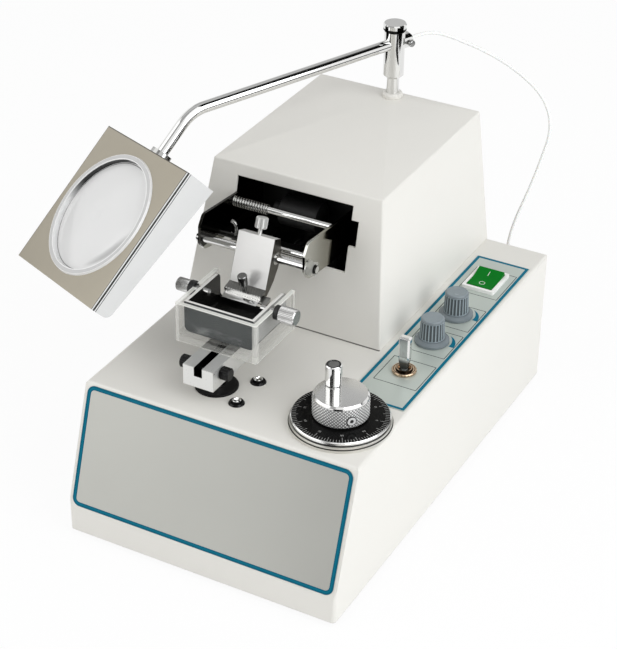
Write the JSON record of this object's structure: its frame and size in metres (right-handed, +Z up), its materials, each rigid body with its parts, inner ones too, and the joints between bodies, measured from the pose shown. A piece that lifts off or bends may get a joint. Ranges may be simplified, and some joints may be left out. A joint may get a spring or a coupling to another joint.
{
  "type": "vibrating microtome",
  "caption": "Bench vibrating-blade tissue slicer: painted base and cowl, dial-driven lift with clear bath and hanging tray, feeding blade carriage, control strip and swivelling magnifier",
  "frame": {"origin": "Centre of the base housing's footprint, on the table under the rubber ring", "axes": "+Z up, -Y towards the user and the sloping front panel, +X to the user's right, the side of the controls"},
  "size_m": [0.2993, 0.407, 0.2771],
  "materials": {
    "white_paint": "satin enamel",
    "panel_grey": "satin printed sheet",
    "steel": "ground steel",
    "aluminium": "turned aluminium",
    "chrome": "polished plating",
    "polished_steel": "polished stainless sheet",
    "dark_steel": "blackened steel",
    "brass": "turned brass",
    "black_plastic": "moulded",
    "knob_grey": "moulded, fine texture",
    "green_plastic": "translucent moulded",
    "pale_plastic": "moulded",
    "board_green": "solder mask",
    "motor_dark": "satin",
    "black_disc": "black anodised",
    "tray_dark": "smooth dark plastic",
    "clear_plastic": "clear, polished edges",
    "rubber": "moulded",
    "cord_white": "smooth sheath"
  },
  "bodies": {
    "base": {"base_housing": "white_paint", "base_plate": "steel", "rubber_ring": "rubber", "front_panel": "panel_grey", "control_panel": "panel_grey", "cowl": "white_paint", "power_inlet": "black_plastic", "cord_gland": "black_plastic", "lamp_cord": "cord_white", "lift_seal": "black_plastic", "deck_screws": "steel", "lift_bracket": "aluminium", "feed_frame": "steel", "feed_motor": "motor_dark", "control_board": "board_green", "toggle_body": "brass", "toggle_nut": "brass", "rocker_bezel": "pale_plastic", "post_collar": "pale_plastic", "lamp_post": "chrome", "dial_base": "aluminium", "drive_belt": "rubber"},
    "toggle": {"toggle_lever": "chrome"},
    "rocker": {"rocker": "green_plastic"},
    "speed_knob": {"speed_knob": "knob_grey"},
    "amplitude_knob": {"amplitude_knob": "knob_grey"},
    "dial": {"dial_disc": "black_disc", "dial_hub": "aluminium", "dial_shaft": "steel"},
    "crank": {"crank_sleeve": "chrome"},
    "lift_nut": {"lift_pulley": "aluminium"},
    "lift": {"lift_post": "steel", "stage_block": "aluminium"},
    "block_screw_right": {"block_screw_right": "black_plastic"},
    "block_screw_left": {"block_screw_left": "black_plastic"},
    "bath": {"ice_bath": "clear_plastic", "tray_washers": "black_plastic"},
    "tray": {"specimen_tray": "tray_dark"},
    "tray_screw_left": {"tray_screw_left": "chrome"},
    "tray_screw_right": {"tray_screw_right": "chrome"},
    "carriage": {"left_plate": "polished_steel", "right_plate": "polished_steel", "carriage_rods": "steel", "return_spring": "steel", "feed_beam": "aluminium", "vibration_motor": "motor_dark"},
    "feed_screw": {"feed_screw": "steel"},
    "vibrator": {"vibration_bush": "brass"},
    "blade_holder": {"blade_arm": "steel", "blade_jaw": "dark_steel", "clamp_bar": "dark_steel", "blade": "steel"},
    "clamp_screw": {"clamp_screw": "dark_steel"},
    "tilt_screw": {"tilt_screw": "chrome"},
    "head": {"post_head": "chrome"},
    "head_screw": {"head_screw": "chrome"},
    "arm": {"arm_tube": "chrome"},
    "magnifier": {"lens_frame": "polished_steel", "lens_back": "aluminium", "lens": "clear_plastic"}
  },
  "joints": [
    {"name": "toggle_tip", "type": "hinge", "parent": "base", "child": "toggle", "pos_m": [0.0805, -0.028, 0.113], "axis": [1, 0, 0], "range_deg": [-12, 12]},
    {"name": "rocker_switch", "type": "hinge", "parent": "base", "child": "rocker", "pos_m": [0.0805, 0.11, 0.112], "axis": [1, 0, 0], "range_deg": [-14, 0]},
    {"name": "speed_turn", "type": "hinge", "parent": "base", "child": "speed_knob", "pos_m": [0.0805, 0.0166, 0.113], "axis": [0, 0, 1], "range_deg": [-150, 150]},
    {"name": "amplitude_turn", "type": "hinge", "parent": "base", "child": "amplitude_knob", "pos_m": [0.0805, 0.057, 0.113], "axis": [0, 0, 1], "range_deg": [-150, 150]},
    {"name": "dial_turn", "type": "hinge", "parent": "base", "child": "dial", "pos_m": [0.0707, -0.104, 0.117], "axis": [0, 0, 1], "range_deg": [-3240, 1080]},
    {"name": "crank_spin", "type": "hinge", "parent": "dial", "child": "crank", "pos_m": [0.06158, -0.09785, 0.143], "axis": [0, 0, 1], "continuous": true},
    {"name": "lift_nut_turn", "type": "hinge", "parent": "base", "child": "lift_nut", "pos_m": [-0.0237, -0.106, 0.083], "axis": [0, 0, 1], "range_deg": [-3240, 1080]},
    {"name": "stage_lift", "type": "slide", "parent": "base", "child": "lift", "axis": [0, 0, 1], "range_m": [-0.009, 0.003]},
    {"name": "block_screw_right_turn", "type": "hinge", "parent": "lift", "child": "block_screw_right", "pos_m": [-0.012, -0.119, 0.134], "axis": [1, 0, 0], "range_deg": [-360, 0]},
    {"name": "block_screw_left_turn", "type": "hinge", "parent": "lift", "child": "block_screw_left", "pos_m": [-0.0354, -0.119, 0.134], "axis": [-1, 0, 0], "range_deg": [-360, 0]},
    {"name": "bath_slide", "type": "slide", "parent": "lift", "child": "bath", "axis": [0, 1, 0], "range_m": [-0.02, 0.003]},
    {"name": "tray_tilt", "type": "hinge", "parent": "bath", "child": "tray", "pos_m": [-0.0237, -0.08, 0.1665], "axis": [1, 0, 0], "range_deg": [-3, 3]},
    {"name": "tray_screw_left_turn", "type": "hinge", "parent": "bath", "child": "tray_screw_left", "pos_m": [-0.05545, -0.08, 0.1665], "axis": [-1, 0, 0], "range_deg": [-360, 0]},
    {"name": "tray_screw_right_turn", "type": "hinge", "parent": "bath", "child": "tray_screw_right", "pos_m": [0.00805, -0.08, 0.1665], "axis": [1, 0, 0], "range_deg": [-360, 0]},
    {"name": "carriage_feed", "type": "slide", "parent": "base", "child": "carriage", "axis": [0, 1, 0], "range_m": [-0.015, 0.012]},
    {"name": "feed_screw_turn", "type": "hinge", "parent": "base", "child": "feed_screw", "pos_m": [-0.02975, 0.04, 0.158], "axis": [0, 1, 0], "range_deg": [-2700, 2160]},
    {"name": "blade_vibrate", "type": "slide", "parent": "carriage", "child": "vibrator", "axis": [1, 0, 0], "range_m": [-0.001, 0.001]},
    {"name": "blade_tilt", "type": "hinge", "parent": "vibrator", "child": "blade_holder", "pos_m": [-0.0265, -0.0436, 0.184], "axis": [1, 0, 0], "range_deg": [-25, 0]},
    {"name": "clamp_screw_turn", "type": "hinge", "parent": "blade_holder", "child": "clamp_screw", "pos_m": [-0.0265, -0.06289, 0.16513], "axis": [0, -0.2419, 0.9703], "range_deg": [-360, 0]},
    {"name": "tilt_screw_turn", "type": "hinge", "parent": "blade_holder", "child": "tilt_screw", "pos_m": [-0.0265, -0.04677, 0.18524], "axis": [0, 0.3649, 0.9311], "range_deg": [-360, 360]},
    {"name": "head_swivel", "type": "hinge", "parent": "base", "child": "head", "pos_m": [-0.0279, 0.1644, 0.2606], "axis": [0, 0, 1], "range_deg": [-100, 0], "deforming": ["lamp_cord"]},
    {"name": "head_screw_turn", "type": "hinge", "parent": "head", "child": "head_screw", "pos_m": [-0.01839, 0.17113, 0.2606], "axis": [0.9272, -0.3746, 0], "range_deg": [-360, 0]},
    {"name": "arm_roll", "type": "hinge", "parent": "head", "child": "arm", "pos_m": [-0.0279, 0.1644, 0.2606], "axis": [0.3746, 0.9272, 0], "range_deg": [0, 20]},
    {"name": "lens_roll", "type": "hinge", "parent": "arm", "child": "magnifier", "pos_m": [-0.0987, -0.01084, 0.2606], "axis": [0.2726, 0.6748, 0.6858], "range_deg": [-25, 10]}
  ],
  "couplings": [
    {"joint": "dial_turn", "follows": "stage_lift", "rad_per_m": 6283.2},
    {"joint": "lift_nut_turn", "follows": "stage_lift", "rad_per_m": 6283.2},
    {"joint": "feed_screw_turn", "follows": "carriage_feed", "rad_per_m": 3141.6}
  ]
}
